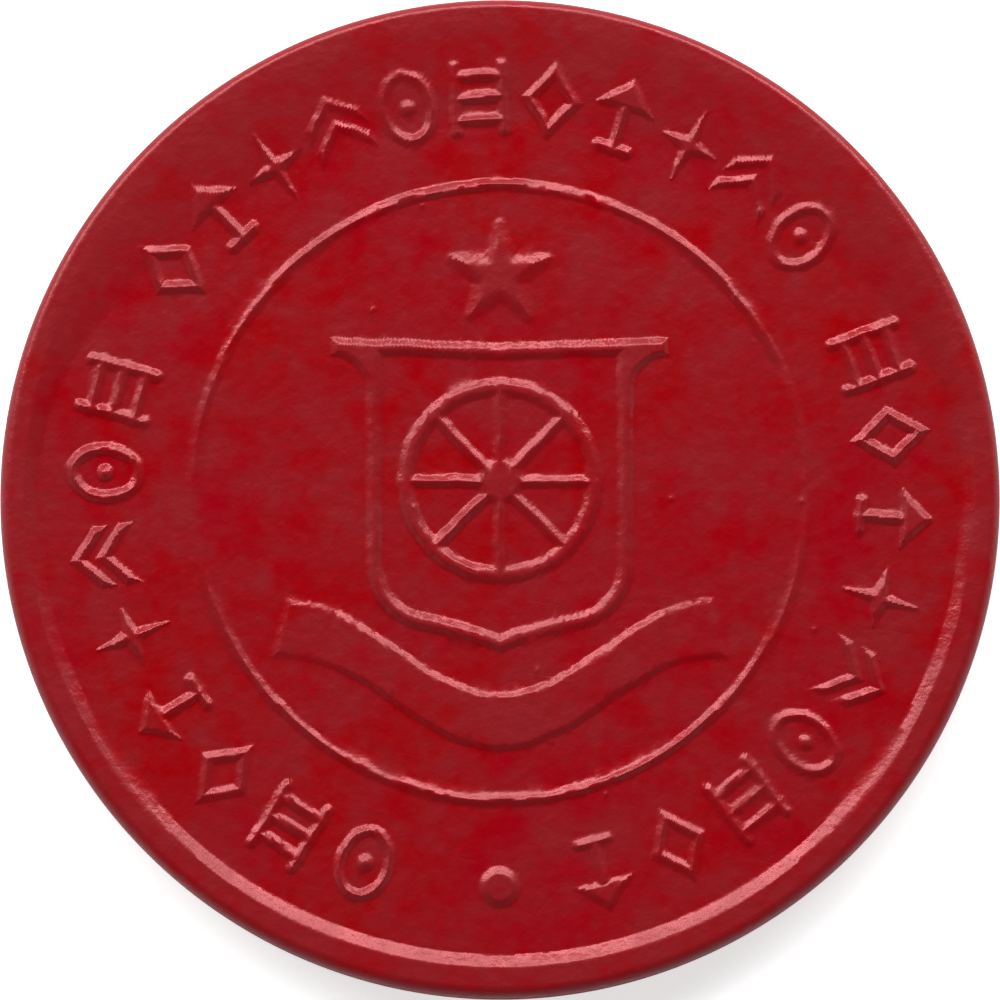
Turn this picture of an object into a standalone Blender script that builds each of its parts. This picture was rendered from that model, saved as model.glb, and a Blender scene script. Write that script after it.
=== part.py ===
"""Transit token: one moulded plastic disc with a raised rim and a raised design on each face.

Metres, +Z up. The origin is the middle of the flat ring that the token rests on, the land of
the reverse rim. +Z points out of the obverse, and +Y towards the top of its design.
"""

import math

import bmesh
import bpy

MM = 0.001

# ---- Driving dimensions ----
DIAMETER = 23.0 * MM  # over the edge
THICKNESS = 1.6 * MM  # over both rims
EDGE_ROUND = 0.36 * MM  # radius of the two outer corners

RIM_WIDTH = 0.58 * MM  # from the edge to the top of the rim's inner slope
RIM_SLOPE = 0.35 * MM  # width of that slope, seen from above
RIM_HEIGHT = 0.15 * MM  # the rim stands this far above the field
DIE_OFFSET = 0.18 * MM  # the obverse die sat off centre, towards +Y

RELIEF = 0.1 * MM  # the designs stand this far above the field
ROOT = 0.1 * MM  # a raised shape starts this far inside the body

LEGEND_HEIGHT = 1.77 * MM  # height of the legend's marks
LEGEND_GAP = 0.63 * MM  # from the foot of the rim's slope to the marks
CIRCLE_GAP = 1.0 * MM  # from the marks to the thin circle
CIRCLE_LINE = 0.24 * MM  # width of the thin circle's line
STROKE = 0.25 * MM  # width of the strokes of the marks
MARK_GAP = 0.32 * MM  # between marks in the tightest group
PELLET = 0.8 * MM  # diameter of a pellet
EMBLEM_GAP = 0.7 * MM  # from the thin circle to the emblem
SHIELD_BORDER = 0.34 * MM  # width of the shield's raised border
WHEEL_GAP = 0.38 * MM  # from that border to the wheel on the shield
FELLOE = 0.36 * MM  # width of a wheel's ring
SPOKE = 0.26 * MM  # width of a wheel's spokes
HUB_MARGIN = 0.17 * MM  # from where the spokes meet to the edge of the shield's wheel's hub
REVERSE_HUB_MARGIN = 0.9 * MM  # the same on the reverse's wheel

# The legend: start and end in degrees clockwise from the top, and the number of marks.
LEGEND_GROUPS = ((194, 291, 8), (299, 415, 11), (64, 171, 9))
REVERSE_PELLETS = 16
WHEEL_SPOKES = 8
LADDER_RUNGS = 3
SHIELD_HALF = 0.49  # half the shield's width, as a share of the emblem's radius

# Sides of the polygons that stand for circles.
EDGE_SIDES = 96
CIRCLE_SIDES = 72
WHEEL_SIDES = 48
MARK_SIDES = 20
PELLET_SIDES = 12
CORNER_STEPS = 5  # in the quarter round of an outer corner

# ---- Sizes that follow ----
RADIUS = DIAMETER / 2
FIELD_RADIUS = RADIUS - RIM_WIDTH - RIM_SLOPE
LEGEND_OUTER = FIELD_RADIUS - LEGEND_GAP
LEGEND_MIDDLE = LEGEND_OUTER - LEGEND_HEIGHT / 2
CIRCLE_OUTER = LEGEND_OUTER - LEGEND_HEIGHT - CIRCLE_GAP
CIRCLE_INNER = CIRCLE_OUTER - CIRCLE_LINE
EMBLEM_RADIUS = CIRCLE_INNER - EMBLEM_GAP
TIGHTEST_PITCH = min((end - start) / count for start, end, count in LEGEND_GROUPS)
MARK_WIDTH = math.radians(TIGHTEST_PITCH) * LEGEND_MIDDLE - MARK_GAP

PLASTIC = (0.301, 0.009, 0.013, 1.0)
PLASTIC_ROUGHNESS = 0.42


# ---- Outlines: lists of (x, y) points ----
def arc(centre, radius, start, end, steps):
    """Points on an arc from start to end, in degrees anticlockwise from +X, both included."""
    angles = [math.radians(start + (end - start) * i / steps) for i in range(steps + 1)]
    return [
        (centre[0] + radius * math.cos(a), centre[1] + radius * math.sin(a)) for a in angles
    ]


def circle(radius, sides, centre=(0.0, 0.0)):
    return arc(centre, radius, 0, 360, sides)[:-1]


def ellipse(half_width, half_height, sides):
    return [(x * half_width, y * half_height) for x, y in circle(1.0, sides)]


def star(points, outer, inner, centre=(0.0, 0.0)):
    """A star with one point straight up."""
    tips = circle(1.0, 2 * points)
    turned = [(-y, x) for x, y in tips]
    radii = [outer if i % 2 == 0 else inner for i in range(2 * points)]
    return [
        (centre[0] + r * x, centre[1] + r * y) for r, (x, y) in zip(radii, turned, strict=True)
    ]


def curve(start, pull, end, steps):
    """Points on a curve from start to end, both included, that bends towards a third point."""
    points = []
    for i in range(steps + 1):
        t = i / steps
        a, b, c = (1 - t) ** 2, 2 * t * (1 - t), t * t
        points.append(tuple(a * s + b * p + c * e for s, p, e in zip(start, pull, end)))
    return points


def inset(outline, width):
    """An anticlockwise outline moved inwards by a width, its corners kept sharp."""
    moved = []
    for i, (x, y) in enumerate(outline):
        before = outline[i - 1]
        after = outline[(i + 1) % len(outline)]
        ax, ay = x - before[0], y - before[1]
        bx, by = after[0] - x, after[1] - y
        a_long, b_long = math.hypot(ax, ay), math.hypot(bx, by)
        nx = -ay / a_long - by / b_long
        ny = ax / a_long + bx / b_long
        reach = 2 * width / (nx * nx + ny * ny)
        moved.append((x + nx * reach, y + ny * reach))
    return moved


# ---- The legend's marks: plain signs, each a list of outlines with holes, +Y outwards ----
def ring_mark(w, h):
    inner = ellipse(w / 2 - STROKE, h / 2 - STROKE, MARK_SIDES)
    return [[ellipse(w / 2, h / 2, MARK_SIDES), inner], [circle(STROKE * 0.7, PELLET_SIDES)]]


def box(left, low, right, high):
    return [(left, low), (right, low), (right, high), (left, high)]


def ladder_mark(w, h):
    """Two rails joined by rungs, and open at both ends."""
    x, y, s = w / 2, h / 2, STROKE
    pitch = (h - STROKE) / LADDER_RUNGS
    lowest = -pitch * (LADDER_RUNGS - 1) / 2
    highest = -lowest
    foot = [(-x, -y), (-x + s, -y), (-x + s, lowest - s / 2), (x - s, lowest - s / 2), (x - s, -y)]
    head = [(x - s, y), (x - s, highest + s / 2), (-x + s, highest + s / 2), (-x + s, y), (-x, y)]
    rungs = [lowest + pitch * i for i in range(LADDER_RUNGS)]
    holes = [
        box(-x + s, low + s / 2, x - s, high - s / 2) for low, high in zip(rungs, rungs[1:])
    ]
    return [[foot + [(x, -y), (x, y)] + head, *holes]]


def lozenge_mark(w, h):
    outer = [(w / 2, 0), (0, h / 2), (-w / 2, 0), (0, -h / 2)]
    return [[outer, inset(outer, STROKE)]]


def chevron_mark(w, h):
    """Two chevrons, one above the other, pointing outwards."""
    x, drop = w / 2, h / 3
    rise = STROKE * 1.2
    tops = (h / 2, h / 2 - drop)
    return [
        [[(x, t - drop), (0, t), (-x, t - drop), (-x, t - drop - rise), (0, t - rise),
          (x, t - drop - rise)]]
        for t in tops
    ]  # fmt: skip


def star_mark(w, h):
    outline = star(4, h / 2, h / 7)
    return [[[(x * w / h, y) for x, y in outline]]]


def arrow_mark(w, h):
    """An arrow pointing outwards, on a foot."""
    x, y, s = w / 2, h / 2, STROKE / 2
    head, foot = y - h * 0.4, -y + STROKE
    outline = [
        (-x * 0.7, -y),
        (x * 0.7, -y),
        (x * 0.7, foot),
        (s, foot),
        (s, head),
        (x, head),
        (0, y),
        (-x, head),
        (-s, head),
        (-s, foot),
        (-x * 0.7, foot),
    ]
    return [[outline]]


MARKS = (ring_mark, ladder_mark, lozenge_mark, arrow_mark, star_mark, chevron_mark)


def placed(shapes, radius, clockwise):
    """Shapes moved out along +Y to a radius, then turned clockwise about the centre."""
    a = math.radians(clockwise)
    c, s = math.cos(a), math.sin(a)
    return [
        [[(x * c + (y + radius) * s, (y + radius) * c - x * s) for x, y in line] for line in shape]
        for shape in shapes
    ]


def legend():
    shapes = placed([[circle(PELLET / 2, PELLET_SIDES)]], LEGEND_MIDDLE, 180)
    number = 0
    for start, end, count in LEGEND_GROUPS:
        pitch = (end - start) / count
        for i in range(count):
            mark = MARKS[number % len(MARKS)](MARK_WIDTH, LEGEND_HEIGHT)
            shapes += placed(mark, LEGEND_MIDDLE, start + pitch * (i + 0.5))
            number += 1
    return shapes


# ---- The emblem and the wheel ----
def thin_circle():
    return [[circle(CIRCLE_OUTER, CIRCLE_SIDES), circle(CIRCLE_INNER, CIRCLE_SIDES)]]


def wheel(centre, radius, hub_margin):
    """A spoked wheel: a ring and a hub joined by spokes, its openings as holes."""
    rim_inside = radius - FELLOE
    pitch = 360 / WHEEL_SPOKES
    hub = SPOKE / 2 / math.sin(math.radians(pitch / 2)) + hub_margin
    outlines = [circle(radius, WHEEL_SIDES, centre)]
    for i in range(WHEEL_SPOKES):
        far = math.degrees(math.asin(SPOKE / 2 / rim_inside))
        near = math.degrees(math.asin(SPOKE / 2 / hub))
        start, end = i * pitch, (i + 1) * pitch
        outline = arc(centre, rim_inside, start + far, end - far, 5)
        outline += arc(centre, hub, end - near, start + near, 2)
        outlines.append(outline)
    return [outlines]


def mirrored(right):
    """A closed outline from its right half, whose first and last points are on the middle line."""
    return right + [(-x, y) for x, y in reversed(right[1:-1])]


def shield(e, ears):
    """A shield with a dipped top, upright sides and a point below, with ears or without."""
    top, dip, side, point = 0.565 * e, 0.02 * e, SHIELD_HALF * e, -0.59 * e
    corner, corner_y, corner_turn = 0.25 * e, -0.26 * e, 80
    lower_corner = arc((side - corner, corner_y), corner, -corner_turn, 0, 8)
    right = curve((0.0, point), (0.1 * e, -0.54 * e), lower_corner[0], 4) + lower_corner[1:]
    if ears:
        ear, ear_height = 0.62 * e, 0.06 * e
        hollow = ear - side
        right += arc((ear, top - ear_height - hollow), hollow, 180, 90, 5)
        right += [(ear, top)]
    else:
        right += [(side, top)]
    return mirrored(right + [(0.0, top - dip)])


def scroll(e):
    """A blank ribbon that hangs in a wave below the shield, its ends cut aslant."""
    half_length, half_width, slant = 0.78 * e, 0.1 * e, 0.05 * e
    middle_y, end_y = -0.845 * e, -0.5 * e
    steps = 20
    lower, upper = [], []
    for i in range(steps + 1):
        along = 2 * i / steps - 1
        y = middle_y + (end_y - middle_y) * (1 - math.cos(math.pi * along)) / 2
        lower.append((half_length * along + slant * along**5, y - half_width))
        upper.append((half_length * along, y + half_width))
    return lower + upper[::-1]


def emblem():
    e = EMBLEM_RADIUS
    wheel_radius = SHIELD_HALF * e - SHIELD_BORDER - WHEEL_GAP
    return [
        [shield(e, ears=True), inset(shield(e, ears=False), SHIELD_BORDER)],
        [scroll(e)],
        [star(5, 0.19 * e, 0.08 * e, (0.0, 0.8 * e))],
        *wheel((0.0, 0.04 * e), wheel_radius, HUB_MARGIN),
    ]


def reverse_design():
    shapes = thin_circle() + wheel((0.0, 0.0), EMBLEM_RADIUS, REVERSE_HUB_MARGIN)
    pellet = [[circle(PELLET / 2, PELLET_SIDES)]]
    for i in range(REVERSE_PELLETS):
        shapes += placed(pellet, LEGEND_MIDDLE, i * 360 / REVERSE_PELLETS)
    return shapes


# ---- Solids ----
def turned(profile, sides):
    """A closed mesh turned about Z from (radius, height) points, lowest first."""
    bm = bmesh.new()
    rings = [[bm.verts.new((x, y, z)) for x, y in circle(r, sides)] for r, z in profile]
    for lower, upper in zip(rings, rings[1:]):
        for i in range(sides):
            bm.faces.new((lower[i - 1], lower[i], upper[i], upper[i - 1]))
    bm.faces.new(list(reversed(rings[0])))
    bm.faces.new(rings[-1])
    return bm


def prisms(shapes, low, high):
    """Upright prisms on flat outlines with holes, between two heights."""
    bm = bmesh.new()
    for shape in shapes:
        edges = []
        for outline in shape:
            verts = [bm.verts.new((x, y, low)) for x, y in outline]
            edges += [bm.edges.new((verts[i - 1], verts[i])) for i in range(len(verts))]
        filled = bmesh.ops.triangle_fill(bm, use_beauty=True, use_dissolve=False, edges=edges)
        faces = [item for item in filled["geom"] if isinstance(item, bmesh.types.BMFace)]
        raised = bmesh.ops.extrude_face_region(bm, geom=faces, use_keep_orig=True)
        tops = [item for item in raised["geom"] if isinstance(item, bmesh.types.BMVert)]
        bmesh.ops.translate(bm, verts=tops, vec=(0.0, 0.0, high - low))
    bmesh.ops.recalc_face_normals(bm, faces=bm.faces)
    return bm


def new_object(name, bm, material):
    mesh = bpy.data.meshes.new(name)
    bm.to_mesh(mesh)
    bm.free()
    mesh.materials.append(material)
    mesh.shade_smooth()
    mesh.set_sharp_from_angle(angle=math.radians(30))
    thing = bpy.data.objects.new(name, mesh)
    bpy.context.scene.collection.objects.link(thing)
    return thing


def helper(name, bm, material, location=(0.0, 0.0, 0.0)):
    """A shape that only cuts or adds to another, and is hidden itself."""
    thing = new_object(name, bm, material)
    thing.location = location
    thing.hide_render = True
    thing.display_type = "WIRE"
    return thing


def combine(thing, other, operation):
    step = thing.modifiers.new(other.name, "BOOLEAN")
    step.operation = operation
    step.solver = "EXACT"
    step.object = other


def red_plastic():
    material = bpy.data.materials.new("red_plastic")
    material.use_nodes = True
    shader = material.node_tree.nodes["Principled BSDF"]
    shader.inputs["Base Color"].default_value = PLASTIC
    shader.inputs["Roughness"].default_value = PLASTIC_ROUGHNESS
    shader.inputs["Metallic"].default_value = 0.0
    return material


def blank(material):
    """The disc before the dies sink its two fields: a plain round with rounded corners."""
    inside = RADIUS - EDGE_ROUND
    lower = arc((inside, EDGE_ROUND), EDGE_ROUND, -90, 0, CORNER_STEPS)
    upper = arc((inside, THICKNESS - EDGE_ROUND), EDGE_ROUND, 0, 90, CORNER_STEPS)
    return new_object("token", turned(lower + upper, EDGE_SIDES), material)


def field_sink(name, material, floor, outwards, location):
    """The space above a field: a shallow cone whose side is the rim's inner slope."""
    run = 2 * RIM_HEIGHT
    foot = (FIELD_RADIUS, floor)
    mouth = (FIELD_RADIUS + RIM_SLOPE * run / RIM_HEIGHT, floor + outwards * run)
    profile = [foot, mouth] if outwards > 0 else [mouth, foot]
    return helper(name, turned(profile, EDGE_SIDES), material, location)


def build():
    for thing in list(bpy.data.objects):
        bpy.data.objects.remove(thing, do_unlink=True)
    plastic = red_plastic()
    obverse_field = THICKNESS - RIM_HEIGHT
    reverse_field = RIM_HEIGHT
    die = (0.0, DIE_OFFSET, 0.0)
    token = blank(plastic)
    combine(token, field_sink("obverse_sink", plastic, obverse_field, 1, die), "DIFFERENCE")
    sink = field_sink("reverse_sink", plastic, reverse_field, -1, (0.0, 0.0, 0.0))
    combine(token, sink, "DIFFERENCE")
    shapes = legend() + thin_circle() + emblem()
    raised = prisms(shapes, obverse_field - ROOT, obverse_field + RELIEF)
    combine(token, helper("obverse_relief", raised, plastic, die), "UNION")
    raised = prisms(reverse_design(), reverse_field - RELIEF, reverse_field + ROOT)
    combine(token, helper("reverse_relief", raised, plastic), "UNION")


build()
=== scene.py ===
"""Looks of the transit token: its fine relief, its red plastic, the light and the camera.

Lengths are millimetres until a mesh is made, and every size repeats the model's own.
"""

import math

import bpy
import numpy as np
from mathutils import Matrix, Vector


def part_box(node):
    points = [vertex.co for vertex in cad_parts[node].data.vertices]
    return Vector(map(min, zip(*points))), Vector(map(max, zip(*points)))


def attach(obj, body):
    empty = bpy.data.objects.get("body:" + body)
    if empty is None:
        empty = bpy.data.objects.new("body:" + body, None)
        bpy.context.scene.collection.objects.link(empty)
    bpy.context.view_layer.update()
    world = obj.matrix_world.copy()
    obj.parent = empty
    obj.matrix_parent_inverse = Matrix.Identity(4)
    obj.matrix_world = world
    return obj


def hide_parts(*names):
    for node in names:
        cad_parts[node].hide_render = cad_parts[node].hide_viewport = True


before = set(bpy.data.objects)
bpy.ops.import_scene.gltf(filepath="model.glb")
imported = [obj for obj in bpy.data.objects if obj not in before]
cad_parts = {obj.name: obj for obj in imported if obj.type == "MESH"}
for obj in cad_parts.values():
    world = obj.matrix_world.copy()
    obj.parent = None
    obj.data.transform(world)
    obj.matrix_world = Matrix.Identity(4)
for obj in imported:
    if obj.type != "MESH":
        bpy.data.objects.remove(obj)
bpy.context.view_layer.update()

MM = 0.001

# ---- Sizes of the model ----
token_low, token_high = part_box("token")
RADIUS = (token_high[0] - token_low[0]) / 2 / MM
THICKNESS = (token_high[2] - token_low[2]) / MM
EDGE_ROUND = 0.36
RIM_WIDTH = 0.58
RIM_SLOPE = 0.35
RIM_HEIGHT = 0.15
DIE_OFFSET = 0.18
RELIEF = 0.1
LEGEND_HEIGHT = 1.77
LEGEND_GAP = 0.63
CIRCLE_GAP = 1.0
CIRCLE_LINE = 0.24
STROKE = 0.25
MARK_GAP = 0.32
PELLET = 0.8
EMBLEM_GAP = 0.7
SHIELD_BORDER = 0.34
WHEEL_GAP = 0.38
FELLOE = 0.36
SPOKE = 0.26
HUB_MARGIN = 0.17
REVERSE_HUB_MARGIN = 0.9
LEGEND_GROUPS = ((194, 291, 8), (299, 415, 11), (64, 171, 9))
REVERSE_PELLETS = 16
WHEEL_SPOKES = 8
LADDER_RUNGS = 3
SHIELD_HALF = 0.49
WHEEL_RISE = 0.04  # from here to CREST_RISE: shares of the emblem's radius
CREST_OUTER = 0.19
CREST_INNER = 0.08
CREST_RISE = 0.8

FIELD_RADIUS = RADIUS - RIM_WIDTH - RIM_SLOPE
LEGEND_OUTER = FIELD_RADIUS - LEGEND_GAP
LEGEND_MIDDLE = LEGEND_OUTER - LEGEND_HEIGHT / 2
CIRCLE_OUTER = LEGEND_OUTER - LEGEND_HEIGHT - CIRCLE_GAP
CIRCLE_INNER = CIRCLE_OUTER - CIRCLE_LINE
EMBLEM_RADIUS = CIRCLE_INNER - EMBLEM_GAP
TIGHTEST_PITCH = min((end - start) / count for start, end, count in LEGEND_GROUPS)
MARK_WIDTH = math.radians(TIGHTEST_PITCH) * LEGEND_MIDDLE - MARK_GAP

# ---- Plastic: linear colours of fresh and worn places ----
FRESH = (0.34, 0.0001, 0.0018, 1.0)
FRESH_BLUISH = (0.33, 0.0003, 0.0062, 1.0)
WORN = (0.268, 0.0085, 0.0125, 1.0)
FRESH_ROUGHNESS = 0.225
WORN_ROUGHNESS = 0.36
SPECULAR = 0.78
SPECULAR_TINT = (1.0, 0.45, 0.47, 1.0)
RAISED_WEAR = 0.45  # raised places are this much further from fresh to worn

# Sizes of the plastic's unevenness, and its depth in shading
PATCHES = 1.4
BLOTCHES = 0.42
BLUISH_AREAS = 2.6
PITS = 0.3
GRAIN = 0.09
GRAIN_SHARE = 0.16  # the grain's depth as a share of the pits'
UNEVENNESS = 0.022
SCRATCH_TURNS = (0.15, 1.2, 2.3)
SCRATCH_WIDTH = 0.13
SCRATCH_THINNING = 0.05  # a scratch's width as a share of its length
SCRATCH_DEPTH = 0.1  # as a share of the unevenness

# ---- Light ----
HORIZON = 1.0  # radiance of the studio's low band on the lamp's side
HORIZON_BEHIND = 0.5  # and on the other side
HORIZON_TOP = 0.42  # its upper edge, as the sine of the elevation
HORIZON_BLUR = 0.1  # half the width of that edge, in the same measure
OVERHEAD = 0.012  # radiance above it
LAMP_AZIMUTH = -8  # degrees clockwise from +Y
LAMP_ELEVATION = 48
LAMP_DISTANCE = 0.25  # metres, as are the next two
LAMP_LENGTH = 0.6
LAMP_WIDTH = 0.06
LAMP_POWER = 1.36
FLOOR_HALF = 0.4  # metres
FLOOR_BELOW = 0.00001  # metres below the token, so that the two never share a plane
FLOOR_GLOW = 0.65

# ---- Camera ----
LENS = 300.0
SENSOR = 36.0
FRAME_MARGIN = 1.0006  # width of the picture at the token's middle, in diameters

# ---- Sizes of the fine surface ----
TOP_SLOPE_MORE = 2.0  # how much wider the obverse rim's slope gets at the top, where it fades
TOP_EDGE_ROUND = 0.2  # the outer corners are tighter towards the top
DRAFT = 0.21  # width of a raised shape's side, seen from above
CREST_DRAFT = 0.4
PELLET_DRAFT = DRAFT * 1.2
INSET = 0.04  # the middle of that side stands this far inside the outline
CIRCLE_FADE = 0.5  # how much of the thin circle's height is missing at its two sides
FILLET = 0.07  # between raised shapes that meet
RIM_BEND = 0.12  # share of the rim's slope that bends at its foot, and again at its top
RIM_SINKS = 0.4  # where a design runs onto the rim, this share of its height is lost
STRUCK = 0.87  # how fully the lines are struck, on average
STRUCK_VARIES = 0.1
STRUCK_LEAST = 0.65
STRUCK_WAVES = 5.0
RIBBON = 0.85  # the scroll's height, as a share of the relief
FOLD = 3.75  # the scroll folds this far to each side of the middle
FOLD_WIDTH = 0.12
FOLD_DROP = 0.4  # share of the ribbon's height lost beyond the fold
CREASE_WIDTH = 0.07
CREASE_OUT = 0.02
CREASE_DROP = 0.25
FIELD_WAVES = ((0.003, 5.0), (0.0012, 1.3))  # heights and wavelengths of the fields' ripples
WAVER = ((0.008, 1.1), (0.004, 0.35))  # how far outlines stray, and over which wavelengths
DENTS = (16, (0.12, 0.3), -0.007)  # number, least and greatest radius, height
DUST = (14, (0.05, 0.08), 0.025)
FLASH = 0.03  # the mould's parting line stands this far out of the edge
# Its section: share of FLASH, height above the middle of the edge, lean of the surface upwards
FLASH_SECTION = ((0.0, 0.07, 0.1), (0.4, 0.035, 0.6), (1.0, 0.008, 0.3))
LAND_MARGIN = 0.03  # from the gridded face to the outer corner
LAND_RADIUS = RADIUS - FLASH - EDGE_ROUND - LAND_MARGIN
FINE_CELLS = 448  # the finest cells across the disc
COARSEST = 32  # side of the coarsest cell, in finest cells
BORDER = 4  # side of the cells along the border, in finest cells
OBVERSE_TOLERANCE = 0.006  # how far a cell wider than the finest may miss the surface
REVERSE_TOLERANCE = 0.013
SLOPE_STEP = 0.004  # the distance to each side over which slopes are taken
CORNER_STEPS = 5  # in the quarter round of an outer corner


# ---- Profiles and smooth variation ----
def ramp(t, soft=0.22):
    """From 0 to 1 as t goes from 0 to 1: a straight slope with a bend of share `soft` at each end."""
    t = np.clip(t, 0.0, 1.0)
    low, high = np.minimum(t, soft), np.maximum(t - 1.0 + soft, 0.0)
    middle = t - low
    return (low * low / (2 * soft) + middle - high * high / (2 * soft)) / (1.0 - soft)


def ripple(x, y, wavelength, seed, count=28):
    """A smooth random surface of about unit size, made of waves in all directions."""
    rng = np.random.default_rng(seed)
    total = np.zeros_like(x)
    for _ in range(count):
        angle, phase = rng.uniform(0, 2 * math.pi, 2)
        k = 2 * math.pi / (wavelength * rng.uniform(0.75, 1.6))
        total += np.cos(k * (x * math.cos(angle) + y * math.sin(angle)) + phase)
    return total / math.sqrt(count / 2)


def ripples(x, y, layers, seed):
    """A sum of ripples, from their heights and wavelengths."""
    return sum(
        height * ripple(x, y, wavelength, seed + i)
        for i, (height, wavelength) in enumerate(layers)
    )


# ---- Signed distances: negative inside a shape ----
def ring(x, y, outer, inner):
    return np.abs(np.hypot(x, y) - (outer + inner) / 2) - (outer - inner) / 2


def disc(x, y, radius):
    return np.hypot(x, y) - radius


def bar(x, y, start, end, width):
    """A straight stroke with round ends between two points."""
    dx, dy = end[0] - start[0], end[1] - start[1]
    t = ((x - start[0]) * dx + (y - start[1]) * dy) / (dx * dx + dy * dy)
    t = np.clip(t, 0.0, 1.0)
    return np.hypot(x - start[0] - t * dx, y - start[1] - t * dy) - width / 2


def outline(x, y, points):
    """A closed outline of straight sides."""
    nearest = np.full_like(x, 1e9)
    inside = np.zeros(x.shape, bool)
    for (ax, ay), (bx, by) in zip(points, points[1:] + points[:1]):
        dx, dy = bx - ax, by - ay
        t = ((x - ax) * dx + (y - ay) * dy) / max(dx * dx + dy * dy, 1e-12)
        t = np.clip(t, 0.0, 1.0)
        nearest = np.minimum(nearest, np.hypot(x - ax - t * dx, y - ay - t * dy))
        if ay != by:
            crosses = (ay > y) != (by > y)
            inside ^= crosses & (x < ax + (y - ay) * dx / dy)
    return np.where(inside, -nearest, nearest)


def near_outline(x, y, points):
    """The same, worked out only near the outline; elsewhere just far outside."""
    xs, ys = zip(*points)
    margin = 0.5  # wider than any side or border
    near = (x > min(xs) - margin) & (x < max(xs) + margin)
    near &= (y > min(ys) - margin) & (y < max(ys) + margin)
    d = np.full_like(x, margin)
    d[near] = outline(x[near], y[near], points)
    return d


def union(*distances):
    """The nearest of the distances, with a small fillet where shapes meet."""
    total = distances[0]
    for d in distances[1:]:
        blend = np.maximum(FILLET - np.abs(total - d), 0.0) ** 2 / (4 * FILLET)
        total = np.minimum(total, d) - blend
    return total


# ---- The legend's marks, in a box of width w and height h, +v outwards ----
def ring_mark(u, v, w, h):
    a, b = (w - STROKE) / 2, (h - STROKE) / 2
    k = np.hypot(u / a, v / b) + 1e-9
    slope = np.hypot(u / a**2, v / b**2) / k + 1e-9
    return union(np.abs(k - 1) / slope - STROKE / 2, disc(u, v, STROKE * 0.7))


def ladder_mark(u, v, w, h):
    side, end, s = w / 2 - STROKE / 2, h / 2 - STROKE / 2, STROKE
    pitch = (h - STROKE) / LADDER_RUNGS
    strokes = [bar(u, v, (x, -end), (x, end), s) for x in (-side, side)]
    for i in range(LADDER_RUNGS):
        y = pitch * (i - (LADDER_RUNGS - 1) / 2)
        strokes.append(bar(u, v, (-side, y), (side, y), s))
    return union(*strokes)


def lozenge_mark(u, v, w, h):
    a, b = w / 2, h / 2
    edge = (np.abs(u) / a + np.abs(v) / b - 1) * a * b / math.hypot(a, b)
    return np.abs(edge + STROKE / 2) - STROKE / 2


def arrow_mark(u, v, w, h):
    foot = -h / 2 + STROKE / 2
    head = h / 2 - h * 0.4
    return union(
        bar(u, v, (-w * 0.35 + STROKE / 2, foot), (w * 0.35 - STROKE / 2, foot), STROKE),
        bar(u, v, (0, foot), (0, head), STROKE),
        outline(u, v, [(w / 2, head), (0, h / 2), (-w / 2, head)]),
    )


def star_mark(u, v, w, h):
    points = star(4, h / 2, h / 7)
    return outline(u, v, [(x * w / h, y) for x, y in points])


def chevron_mark(u, v, w, h):
    drop = h / 3
    rise = STROKE * 1.2
    lean = math.cos(math.atan2(drop, w / 2))
    bands = [
        np.abs(v - top + rise / 2 + drop * np.abs(u) / (w / 2)) * lean - rise * lean / 2
        for top in (h / 2, h / 2 - drop)
    ]
    return np.maximum(union(*bands), np.abs(u) - w / 2)


MARKS = (ring_mark, ladder_mark, lozenge_mark, arrow_mark, star_mark, chevron_mark)


def legend(x, y):
    """The ring of marks, tops outwards."""
    d = np.full_like(x, LEGEND_HEIGHT)
    turn = np.degrees(np.arctan2(x, y)) % 360
    number = 0
    for start, end, count in LEGEND_GROUPS:
        pitch = (end - start) / count
        for i in range(count):
            centre = start + pitch * (i + 0.5)
            near = np.abs((turn - centre + 180) % 360 - 180) < pitch * 0.6
            near &= np.abs(np.hypot(x, y) - LEGEND_MIDDLE) < LEGEND_HEIGHT * 0.75
            c, s = math.cos(math.radians(centre)), math.sin(math.radians(centre))
            px, py = x[near], y[near]
            u, v = px * c - py * s, px * s + py * c - LEGEND_MIDDLE
            mark = MARKS[number % len(MARKS)](u, v, MARK_WIDTH, LEGEND_HEIGHT)
            d[near] = np.minimum(d[near], mark)
            number += 1
    return d


# ---- The emblem ----
def arc(centre, radius, start, end, steps):
    angles = [math.radians(start + (end - start) * i / steps) for i in range(steps + 1)]
    return [
        (centre[0] + radius * math.cos(a), centre[1] + radius * math.sin(a)) for a in angles
    ]


def curve(start, pull, end, steps):
    """Points on a curve from start to end that bends towards a third point."""
    points = []
    for i in range(steps + 1):
        t = i / steps
        a, b, c = (1 - t) ** 2, 2 * t * (1 - t), t * t
        points.append(tuple(a * s + b * p + c * e for s, p, e in zip(start, pull, end)))
    return points


def star(points, outer, inner, centre=(0.0, 0.0)):
    """A star with one point straight up."""
    tips = []
    for i in range(2 * points):
        a = math.pi * i / points
        r = outer if i % 2 == 0 else inner
        tips.append((centre[0] - r * math.sin(a), centre[1] + r * math.cos(a)))
    return tips


def shield(ears):
    """A shield with a dipped top, upright sides and a point below, with ears or without."""
    e = EMBLEM_RADIUS
    top, dip, side, point = 0.565 * e, 0.02 * e, SHIELD_HALF * e, -0.59 * e
    corner, corner_y, corner_turn = 0.25 * e, -0.26 * e, 80
    lower_corner = arc((side - corner, corner_y), corner, -corner_turn, 0, 16)
    right = curve((0.0, point), (0.1 * e, -0.54 * e), lower_corner[0], 8) + lower_corner[1:]
    if ears:
        ear, ear_height = 0.62 * e, 0.06 * e
        hollow = ear - side
        right += arc((ear, top - ear_height - hollow), hollow, 180, 90, 10)
        right += [(ear, top)]
    else:
        right += [(side, top)]
    right += [(0.0, top - dip)]
    return right + [(-x, y) for x, y in reversed(right[1:-1])]


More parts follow.
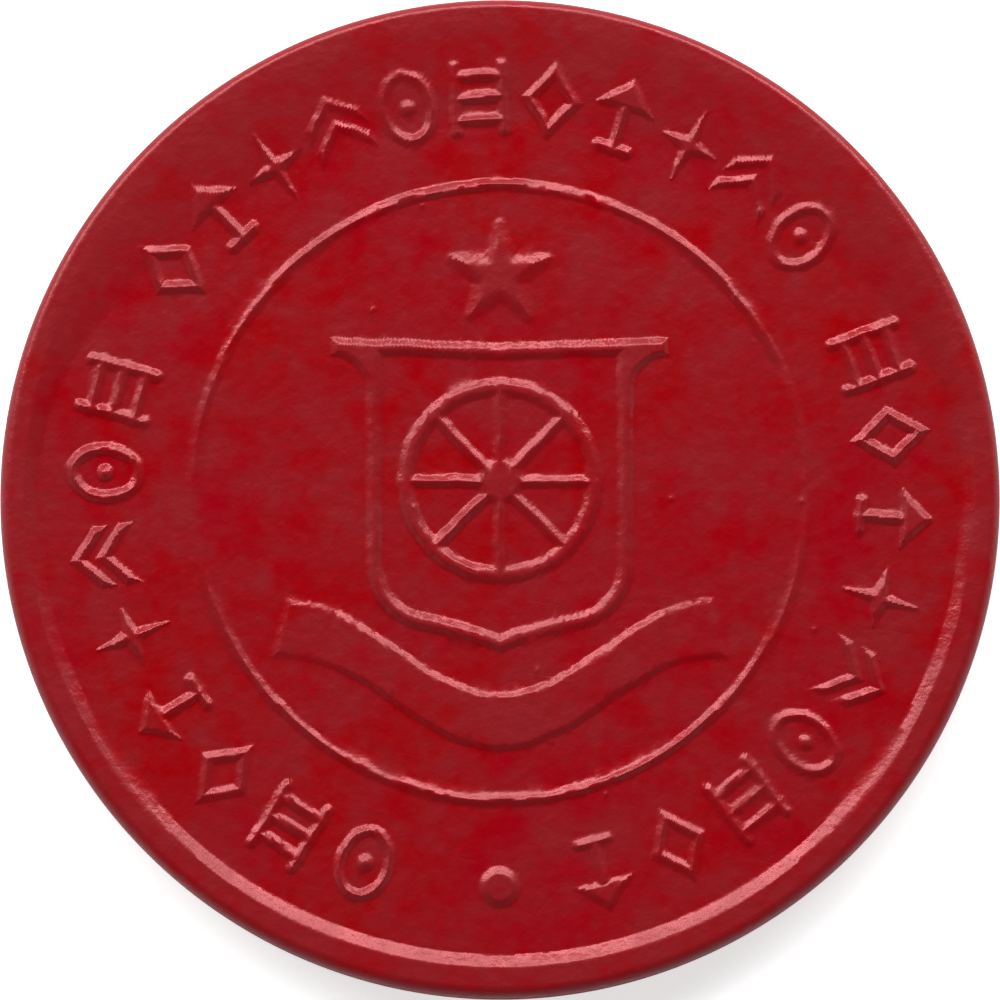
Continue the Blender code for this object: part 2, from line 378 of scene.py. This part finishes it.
def scroll():
    """A blank ribbon that hangs in a wave below the shield, its ends cut aslant."""
    e = EMBLEM_RADIUS
    half_length, half_width, slant = 0.78 * e, 0.1 * e, 0.05 * e
    middle_y, end_y = -0.845 * e, -0.5 * e
    steps = 40
    lower, upper = [], []
    for i in range(steps + 1):
        along = 2 * i / steps - 1
        y = middle_y + (end_y - middle_y) * (1 - math.cos(math.pi * along)) / 2
        lower.append((half_length * along + slant * along**5, y - half_width))
        upper.append((half_length * along, y + half_width))
    return lower + upper[::-1]


def wheel(x, y, radius, hub_margin):
    """A ring and a hub joined by spokes."""
    pitch = 2 * math.pi / WHEEL_SPOKES
    hub = SPOKE / 2 / math.sin(pitch / 2) + hub_margin
    r, turn = np.hypot(x, y), np.arctan2(y, x)
    turn = (turn + pitch / 2) % pitch - pitch / 2
    spoke = np.abs(r * np.sin(turn)) - SPOKE / 2
    spoke = np.maximum(spoke, r - radius)
    return union(ring(x, y, radius, radius - FELLOE), r - hub, spoke)


# ---- Heights ----
def raised(distance, width=DRAFT):
    """1 on top of a shape and 0 outside it, with a soft side."""
    return ramp(0.5 - distance / width)


def marks_of_use(x, y, seed):
    """A few shallow dents, and grains of dust pressed into the surface."""
    rng = np.random.default_rng(seed)
    height = np.zeros_like(x)
    for count, sizes, rise in (DENTS, DUST):
        for _ in range(count):
            turn, out = rng.uniform(0, 2 * math.pi), RADIUS * 0.9 * math.sqrt(rng.uniform())
            size = rng.uniform(*sizes)
            away = np.hypot(x - out * math.cos(turn), y - out * math.sin(turn)) / size
            height += rise * np.exp(-(away**2))
    return height


def rim(x, y, slope=RIM_SLOPE):
    """0 on the field and 1 on the rim, whose inner slope starts further in where it is wider."""
    return ramp((np.hypot(x, y) - FIELD_RADIUS - RIM_SLOPE + slope) / slope, RIM_BEND)


def wobbled(x, y, seed):
    """Places shifted a little, so that outlines waver as a worn die's do."""
    return x + ripples(x, y, WAVER, seed), y + ripples(x, y, WAVER, seed + len(WAVER))


def obverse(x, y):
    """How far the obverse stands above its field, and how raised each place is, 0 to 1."""
    y = y - DIE_OFFSET
    wx, wy = wobbled(x, y, 11)
    e = EMBLEM_RADIUS
    circle = raised(ring(wx, wy, CIRCLE_OUTER, CIRCLE_INNER) + INSET)
    at_side = (x / np.maximum(np.hypot(x, y), 1.0)) ** 4
    border = near_outline(wx, wy, shield(ears=True))
    border = np.maximum(border, -(near_outline(wx, wy, shield(ears=False)) + SHIELD_BORDER))
    wheel_radius = SHIELD_HALF * e - SHIELD_BORDER - WHEEL_GAP
    wheel_shape = wheel(wx, wy - WHEEL_RISE * e, wheel_radius, HUB_MARGIN)
    lines = union(legend(wx, wy), border, wheel_shape)
    struck = STRUCK + STRUCK_VARIES * ripple(x, y, STRUCK_WAVES, 17)
    struck = np.clip(struck, STRUCK_LEAST, 1.0)
    high = np.maximum(raised(lines + INSET), circle * (1 - CIRCLE_FADE * at_side)) * struck
    pellet = raised(disc(wx, wy + LEGEND_MIDDLE, PELLET / 2), PELLET_DRAFT)
    crest = star(5, CREST_OUTER * e, CREST_INNER * e, (0.0, CREST_RISE * e))
    crest = raised(near_outline(wx, wy, crest), CREST_DRAFT)
    high = np.maximum(high, np.maximum(pellet, crest))
    high = np.maximum(high, scroll_height(wx, wy))
    towards_top = ramp(y / np.maximum(np.hypot(x, y), 1.0), 0.4)
    up = rim(x, y, RIM_SLOPE + TOP_SLOPE_MORE * towards_top)
    height = ripples(x, y, FIELD_WAVES, 21) * (1 - up) + RIM_HEIGHT * up
    height += RELIEF * high * (1 - RIM_SINKS * up) + marks_of_use(x, y, 23) * (1 - up)
    return height, np.maximum(high, up)


def scroll_height(x, y):
    """The blank ribbon, 0 to 1, whose two ends are folded back under it."""
    ribbon = raised(near_outline(x, y, scroll())) * RIBBON
    fold = ramp((np.abs(x) - FOLD) / FOLD_WIDTH) * FOLD_DROP
    crease = np.exp(-(((np.abs(x) - FOLD - CREASE_OUT) / CREASE_WIDTH) ** 2)) * CREASE_DROP
    return ribbon * np.clip(1 - fold - crease, 0, 1)


def reverse(x, y):
    """The same for the reverse: a thin circle, a wheel and a ring of pellets."""
    wx, wy = wobbled(x, y, 31)
    pitch = 2 * math.pi / REVERSE_PELLETS
    turn = (np.arctan2(wx, wy) + pitch / 2) % pitch - pitch / 2
    r = np.hypot(wx, wy)
    pellets = np.hypot(r * np.sin(turn), r * np.cos(turn) - LEGEND_MIDDLE) - PELLET / 2
    circle = ring(wx, wy, CIRCLE_OUTER, CIRCLE_INNER)
    lines = union(circle, wheel(wx, wy, EMBLEM_RADIUS, REVERSE_HUB_MARGIN))
    high = raised(np.minimum(lines, pellets) + INSET)
    up = rim(x, y)
    height = ripples(x, y, FIELD_WAVES, 41) * (1 - up) + RELIEF * high + RIM_HEIGHT * up
    return height, np.maximum(high, up)


# ---- The adaptive surface ----
def disc_grid():
    """Places of the finest grid's nodes: a square grid bent so that its squares are circles."""
    a = np.linspace(-1.0, 1.0, FINE_CELLS + 1)
    u, v = np.meshgrid(a, a, indexing="ij")
    wide = np.abs(u) >= np.abs(v)
    reach = np.where(wide, u, v)
    other = np.where(wide, v, u)
    turn = math.pi / 4 * other / np.where(reach == 0, 1.0, reach)
    along, across = reach * np.cos(turn) * LAND_RADIUS, reach * np.sin(turn) * LAND_RADIUS
    return np.where(wide, along, across), np.where(wide, across, along)


def enlarged(blocks, k):
    """Each value repeated over a block of k by k."""
    return np.repeat(np.repeat(blocks, k, 0), k, 1)


def cell_sizes(z, tolerance):
    """For each finest cell, the side of the square cell that it is part of."""
    n = FINE_CELLS
    size = np.ones((n, n), int)
    flat_before = np.ones((n, n), bool)
    k = 2
    while k <= COARSEST:
        m = n // k
        corners = z[::k, ::k]
        worst = np.zeros((m, m))
        for i in range(k + 1):
            for j in range(k + 1):
                s, t = i / k, j / k
                patch = (1 - s) * (1 - t) * corners[:-1, :-1] + s * (1 - t) * corners[1:, :-1]
                patch += (1 - s) * t * corners[:-1, 1:] + s * t * corners[1:, 1:]
                miss = np.abs(z[i::k, j::k][:m, :m] - patch)
                worst = np.maximum(worst, miss)
        flat = (worst < tolerance) & flat_before.reshape(m, 2, m, 2).all(axis=(1, 3))
        size[enlarged(flat, k)] = k
        flat_before = flat
        k *= 2
    return size


def split_cells(size, wanted, above=1):
    """Halve each cell wider than `above` that holds a wanted finest cell, once."""
    k = max(2, 2 * above)
    while k <= COARSEST:
        m = FINE_CELLS // k
        split = (wanted & (size == k)).reshape(m, k, m, k).any(axis=(1, 3))
        size[enlarged(split, k) & (size == k)] = k // 2
        k *= 2


def border_bands(size):
    return size[:1], size[-1:], size[:, :1], size[:, -1:]


def matched(top, bottom):
    """Both faces' cells, balanced, and with the same cells along their borders."""
    border = np.zeros(top.shape, bool)
    for band in border_bands(border):
        band[:] = True
    while True:
        for size in (top, bottom):
            while (border & (size > BORDER)).any():
                split_cells(size, border & (size > BORDER), BORDER)
            balance(size)
        if (top == bottom)[border].all():
            return top, bottom
        split_cells(top, border & (top > bottom))
        split_cells(bottom, border & (bottom > top))


def balance(size):
    """No cell more than twice as wide as the one beside it."""
    while True:
        padded = np.pad(size, 1, constant_values=COARSEST)
        beside = np.minimum(padded[:-2, 1:-1], padded[2:, 1:-1])
        beside = np.minimum(beside, np.minimum(padded[1:-1, :-2], padded[1:-1, 2:]))
        coarse = beside * 2 < size
        if not coarse.any():
            return
        split_cells(size, coarse)


def cell_faces(size):
    """Faces as lists of grid keys: squares, or a few triangles where a neighbour is finer."""
    n = FINE_CELLS
    row = n + 1
    faces = []
    k = 1
    while k <= COARSEST:
        i, j = np.nonzero(size[::k, ::k] == k)
        i, j = i * k, j * k
        half = k // 2
        before_i, after_i = np.maximum(i - 1, 0), np.minimum(i + k, n - 1)
        before_j, after_j = np.maximum(j - 1, 0), np.minimum(j + k, n - 1)
        beside = [size[i + half, before_j], size[after_i, j + half]]
        beside += [size[i + half, after_j], size[before_i, j + half]]
        finer = np.array(beside) < k
        corners = [(0, 0), (k, 0), (k, k), (0, k)]
        middles = [(half, 0), (k, half), (half, k), (0, half)]
        plain = ~finer.any(axis=0)
        keys = np.stack([(i + a) * row + j + b for a, b in corners], 1)
        faces += keys[plain].tolist()
        for c in np.nonzero(~plain)[0]:
            first = int(np.argmax(finer[:, c]))
            loop = []
            for side in range(first, first + 4):
                a, b = corners[side % 4]
                ma, mb = middles[side % 4]
                if side > first:
                    loop.append(int((i[c] + a) * row + j[c] + b))
                if finer[side % 4, c]:
                    loop.append(int((i[c] + ma) * row + j[c] + mb))
            a, b = corners[first]
            loop.append(int((i[c] + a) * row + j[c] + b))
            faces += [[loop[0], p, q] for p, q in zip(loop[1:], loop[2:])]
        k *= 2
    return faces


def relief_surface(face, sizes, base, up):
    """Points, normals, raised shares, faces and border of one face of the token."""
    x, y = disc_grid()
    faces = cell_faces(sizes)
    used, flat = np.unique(np.concatenate([np.array(f) for f in faces]), return_inverse=True)
    px, py = x.ravel()[used], y.ravel()[used]
    step = SLOPE_STEP
    height, share = face(px, py)
    slope_x = (face(px + step, py)[0] - face(px - step, py)[0]) / (2 * step)
    slope_y = (face(px, py + step)[0] - face(px, py - step)[0]) / (2 * step)
    normals = np.stack([-slope_x, -slope_y, np.ones_like(px)], 1)
    normals /= np.linalg.norm(normals, axis=1)[:, None]
    normals[:, 2] *= up
    points = np.stack([px, py, base + up * np.minimum(height, RIM_HEIGHT)], 1)
    numbered, at = [], 0
    for f in faces:
        ids = flat[at : at + len(f)].tolist()
        numbered.append(ids if up > 0 else ids[::-1])
        at += len(f)
    i, j = used // (FINE_CELLS + 1), used % (FINE_CELLS + 1)
    on_border = (i % FINE_CELLS == 0) | (j % FINE_CELLS == 0)
    border = np.nonzero(on_border)[0]
    border = border[np.argsort(np.arctan2(py[border], px[border]))]
    return points, normals, share, numbered, border


def edge_rows(around):
    """Radius, height and outward normal of each row down the edge, at the given angles."""
    side = RADIUS - FLASH
    corner = EDGE_ROUND + (TOP_EDGE_ROUND - EDGE_ROUND) * (1 + np.sin(around)) / 2
    rows = []
    for i in range(CORNER_STEPS + 1):
        a = math.radians(90 - 90 * i / CORNER_STEPS)
        r, z = side - corner * (1 - math.cos(a)), THICKNESS - corner * (1 - math.sin(a))
        rows.append((r, z, math.cos(a), math.sin(a)))
    for out, up, lean in FLASH_SECTION:
        level = np.full_like(around, THICKNESS / 2 + up)
        rows.append((side + FLASH * out, level, math.cos(lean), math.sin(lean)))
    return rows + [(r, THICKNESS - z, nr, -nz) for r, z, nr, nz in reversed(rows)]


def token_mesh():
    """Both faces and the edge between them, as one closed mesh."""
    x, y = disc_grid()
    sizes = []
    for face, tolerance in ((obverse, OBVERSE_TOLERANCE), (reverse, REVERSE_TOLERANCE)):
        z = face(x.ravel(), y.ravel())[0].reshape(x.shape)
        sizes.append(cell_sizes(z, tolerance))
    top_sizes, bottom_sizes = matched(*sizes)
    top = relief_surface(obverse, top_sizes, THICKNESS - RIM_HEIGHT, 1)
    bottom = relief_surface(reverse, bottom_sizes, RIM_HEIGHT, -1)
    points, normals, shares = [[top[i], bottom[i]] for i in range(3)]
    count = len(top[0]) + len(bottom[0])
    faces = top[3] + [[v + len(top[0]) for v in f] for f in bottom[3]]
    border = top[0][top[4]]
    around = np.arctan2(border[:, 1], border[:, 0])
    rings = [top[4]]
    for r, z, nr, nz in edge_rows(around):
        ones = np.ones_like(around)
        points.append(np.stack([r * np.cos(around), r * np.sin(around), z], 1))
        normals.append(np.stack([nr * np.cos(around), nr * np.sin(around), nz * ones], 1))
        shares.append(ones)
        rings.append(np.arange(count, count + len(around)))
        count += len(around)
    rings.append(bottom[4] + len(top[0]))
    for upper, lower in zip(rings, rings[1:]):
        a, b = upper.tolist(), lower.tolist()
        faces += [[a[i - 1], b[i - 1], b[i], a[i]] for i in range(len(a))]
    mesh = bpy.data.meshes.new("moulded_token")
    mesh.from_pydata((np.concatenate(points) * MM).tolist(), [], faces)
    mesh.shade_smooth()
    mesh.normals_split_custom_set_from_vertices(np.concatenate(normals).tolist())
    attribute = mesh.attributes.new("raised", "FLOAT", "POINT")
    attribute.data.foreach_set("value", np.concatenate(shares).astype(np.float32))
    return mesh


# ---- Plastic ----
# A Mix node has sockets of the same name for each kind of value, so its colour sockets go by number.
MIX_COLOUR_A, MIX_COLOUR_B, MIX_COLOUR = 6, 7, 2


class Nodes:
    """A material's node tree, with a short way to add and join nodes."""

    def __init__(self, tree):
        self.tree = tree

    def add(self, kind, inputs=None, **settings):
        node = self.tree.nodes.new(kind)
        for name, value in settings.items():
            setattr(node, name, value)
        for name, value in (inputs or {}).items():
            if isinstance(value, bpy.types.NodeSocket):
                self.tree.links.new(value, node.inputs[name])
            else:
                node.inputs[name].default_value = value
        return node

    def noise(self, vector, size, detail=3.0):
        """Noise with blotches of about the given size in millimetres."""
        inputs = {"Vector": vector, "Scale": 1 / (size * MM), "Detail": detail}
        return self.add("ShaderNodeTexNoise", inputs).outputs["Fac"]

    def spread(self, value, low, high, start=0.0, end=1.0):
        """The value's range low to high stretched to start to end."""
        inputs = {"Value": value, "From Min": low, "From Max": high}
        inputs |= {"To Min": start, "To Max": end}
        return self.add("ShaderNodeMapRange", inputs).outputs["Result"]

    def math(self, operation, a, b):
        return self.add("ShaderNodeMath", {0: a, 1: b}, operation=operation).outputs[0]

    def mix(self, factor, a, b):
        """Colour a where the factor is 0 or less, and colour b where it is 1 or more."""
        inputs = {"Factor": factor, MIX_COLOUR_A: a, MIX_COLOUR_B: b}
        node = self.add("ShaderNodeMix", inputs, data_type="RGBA", clamp_factor=True)
        return node.outputs[MIX_COLOUR]

    def mapping(self, vector, **settings):
        return self.add("ShaderNodeMapping", {"Vector": vector} | settings).outputs[0]


def red_plastic():
    """Red moulded plastic: smooth and deep where sheltered, duller where handling has worn it."""
    material = bpy.data.materials.new("red_moulded_plastic")
    material.use_nodes = True
    nodes = Nodes(material.node_tree)
    shader = material.node_tree.nodes["Principled BSDF"]
    place = nodes.add("ShaderNodeTexCoord").outputs["Object"]
    raised_part = nodes.add("ShaderNodeAttribute", attribute_name="raised").outputs["Fac"]

    patches = nodes.spread(nodes.noise(place, PATCHES, 2.0), 0.35, 0.65, -0.1, 0.6)
    blotches = nodes.spread(nodes.noise(place, BLOTCHES, 3.0), 0.3, 0.7, 0.0, 0.55)
    mottle = nodes.math("ADD", patches, blotches)
    worn = nodes.math("ADD", mottle, nodes.math("MULTIPLY", raised_part, RAISED_WEAR))
    bluish = nodes.spread(nodes.noise(place, BLUISH_AREAS, 1.0), 0.35, 0.7)
    fresh_colour = nodes.mix(bluish, FRESH, FRESH_BLUISH)
    nodes.tree.links.new(nodes.mix(worn, fresh_colour, WORN), shader.inputs["Base Color"])
    roughness = nodes.spread(worn, 0.0, 1.2, FRESH_ROUGHNESS, WORN_ROUGHNESS)
    nodes.tree.links.new(roughness, shader.inputs["Roughness"])
    shader.inputs["Specular IOR Level"].default_value = SPECULAR
    shader.inputs["Specular Tint"].default_value = SPECULAR_TINT

    grain = nodes.noise(place, GRAIN, 2.0)
    pits = nodes.noise(place, PITS, 3.0)
    uneven = nodes.math("ADD", nodes.math("MULTIPLY", grain, GRAIN_SHARE), pits)
    for turn in SCRATCH_TURNS:
        turned = nodes.mapping(place, Rotation=(0, 0, turn))
        long = nodes.mapping(turned, Scale=(SCRATCH_THINNING, 1.0, 1.0))
        scratch = nodes.noise(long, SCRATCH_WIDTH, 1.0)
        uneven = nodes.math("ADD", uneven, nodes.spread(scratch, 0.74, 0.82, 0.0, -SCRATCH_DEPTH))
    bump_inputs = {"Height": uneven, "Distance": UNEVENNESS * MM, "Strength": 1.0}
    bump = nodes.add("ShaderNodeBump", bump_inputs)
    nodes.tree.links.new(bump.outputs["Normal"], shader.inputs["Normal"])
    return material


def make_token():
    mesh = token_mesh()
    mesh.materials.append(red_plastic())
    piece = bpy.data.objects.new("moulded_token", mesh)
    bpy.context.scene.collection.objects.link(piece)
    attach(piece, "root")
    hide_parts("token")
    return piece


# ---- Floor, light and camera ----
def make_floor():
    mesh = bpy.data.meshes.new("pale_floor")
    half = FLOOR_HALF
    corners = [(-half, -half, 0), (half, -half, 0), (half, half, 0), (-half, half, 0)]
    mesh.from_pydata(corners, [], [(0, 1, 2, 3)])
    material = bpy.data.materials.new("pale_floor")
    material.use_nodes = True
    nodes = Nodes(material.node_tree)
    shader = material.node_tree.nodes["Principled BSDF"]
    shader.inputs["Base Color"].default_value = (0.9, 0.9, 0.9, 1.0)
    shader.inputs["Roughness"].default_value = 0.9
    shader.inputs["Emission Color"].default_value = (1.0, 1.0, 1.0, 1.0)
    seen = nodes.add("ShaderNodeLightPath").outputs["Is Camera Ray"]
    glow = nodes.math("MULTIPLY", seen, FLOOR_GLOW)
    nodes.tree.links.new(glow, shader.inputs["Emission Strength"])
    mesh.materials.append(material)
    floor = bpy.data.objects.new("pale_floor", mesh)
    floor.location.z = -FLOOR_BELOW
    bpy.context.scene.collection.objects.link(floor)


def make_lamp():
    """A long, narrow light that faces the token."""
    data = bpy.data.lights.new("lamp", "AREA")
    data.shape = "RECTANGLE"
    data.size = LAMP_LENGTH
    data.size_y = LAMP_WIDTH
    data.energy = LAMP_POWER
    light = bpy.data.objects.new("lamp", data)
    a, e = math.radians(LAMP_AZIMUTH), math.radians(LAMP_ELEVATION)
    light.location = (
        LAMP_DISTANCE * math.sin(a) * math.cos(e),
        LAMP_DISTANCE * math.cos(a) * math.cos(e),
        LAMP_DISTANCE * math.sin(e),
    )
    light.rotation_euler = (e - math.pi / 2, 0, -a)
    bpy.context.scene.collection.objects.link(light)


def make_light():
    """A studio that is bright low down all round and dark overhead, and the lamp."""
    world = bpy.data.worlds.new("studio")
    world.use_nodes = True
    nodes = Nodes(world.node_tree)
    background = world.node_tree.nodes["Background"]
    direction = nodes.add("ShaderNodeTexCoord").outputs["Generated"]
    _, along, height = nodes.add("ShaderNodeSeparateXYZ", {0: direction}).outputs
    towards_lamp = nodes.spread(along, -1.0, 1.0, HORIZON_BEHIND, HORIZON)
    low, high = HORIZON_TOP - HORIZON_BLUR, HORIZON_TOP + HORIZON_BLUR
    band = nodes.spread(height, low, high, towards_lamp, OVERHEAD)
    nodes.tree.links.new(band, background.inputs["Strength"])
    background.inputs["Color"].default_value = (1.0, 1.0, 1.0, 1.0)
    bpy.context.scene.world = world
    make_lamp()
    bpy.context.scene.view_settings.view_transform = "Standard"


def make_camera():
    """Straight above the token's middle, as far away as makes it fill the picture."""
    data = bpy.data.cameras.new("camera")
    data.lens = LENS
    data.sensor_width = SENSOR
    data.clip_start = 0.01
    data.clip_end = 2.0
    camera = bpy.data.objects.new("camera", data)
    seen = 2 * RADIUS * MM * FRAME_MARGIN
    camera.location = (0, 0, THICKNESS / 2 * MM + seen * data.lens / data.sensor_width)
    bpy.context.scene.collection.objects.link(camera)
    bpy.context.scene.camera = camera


make_camera()
make_token()
make_floor()
make_light()
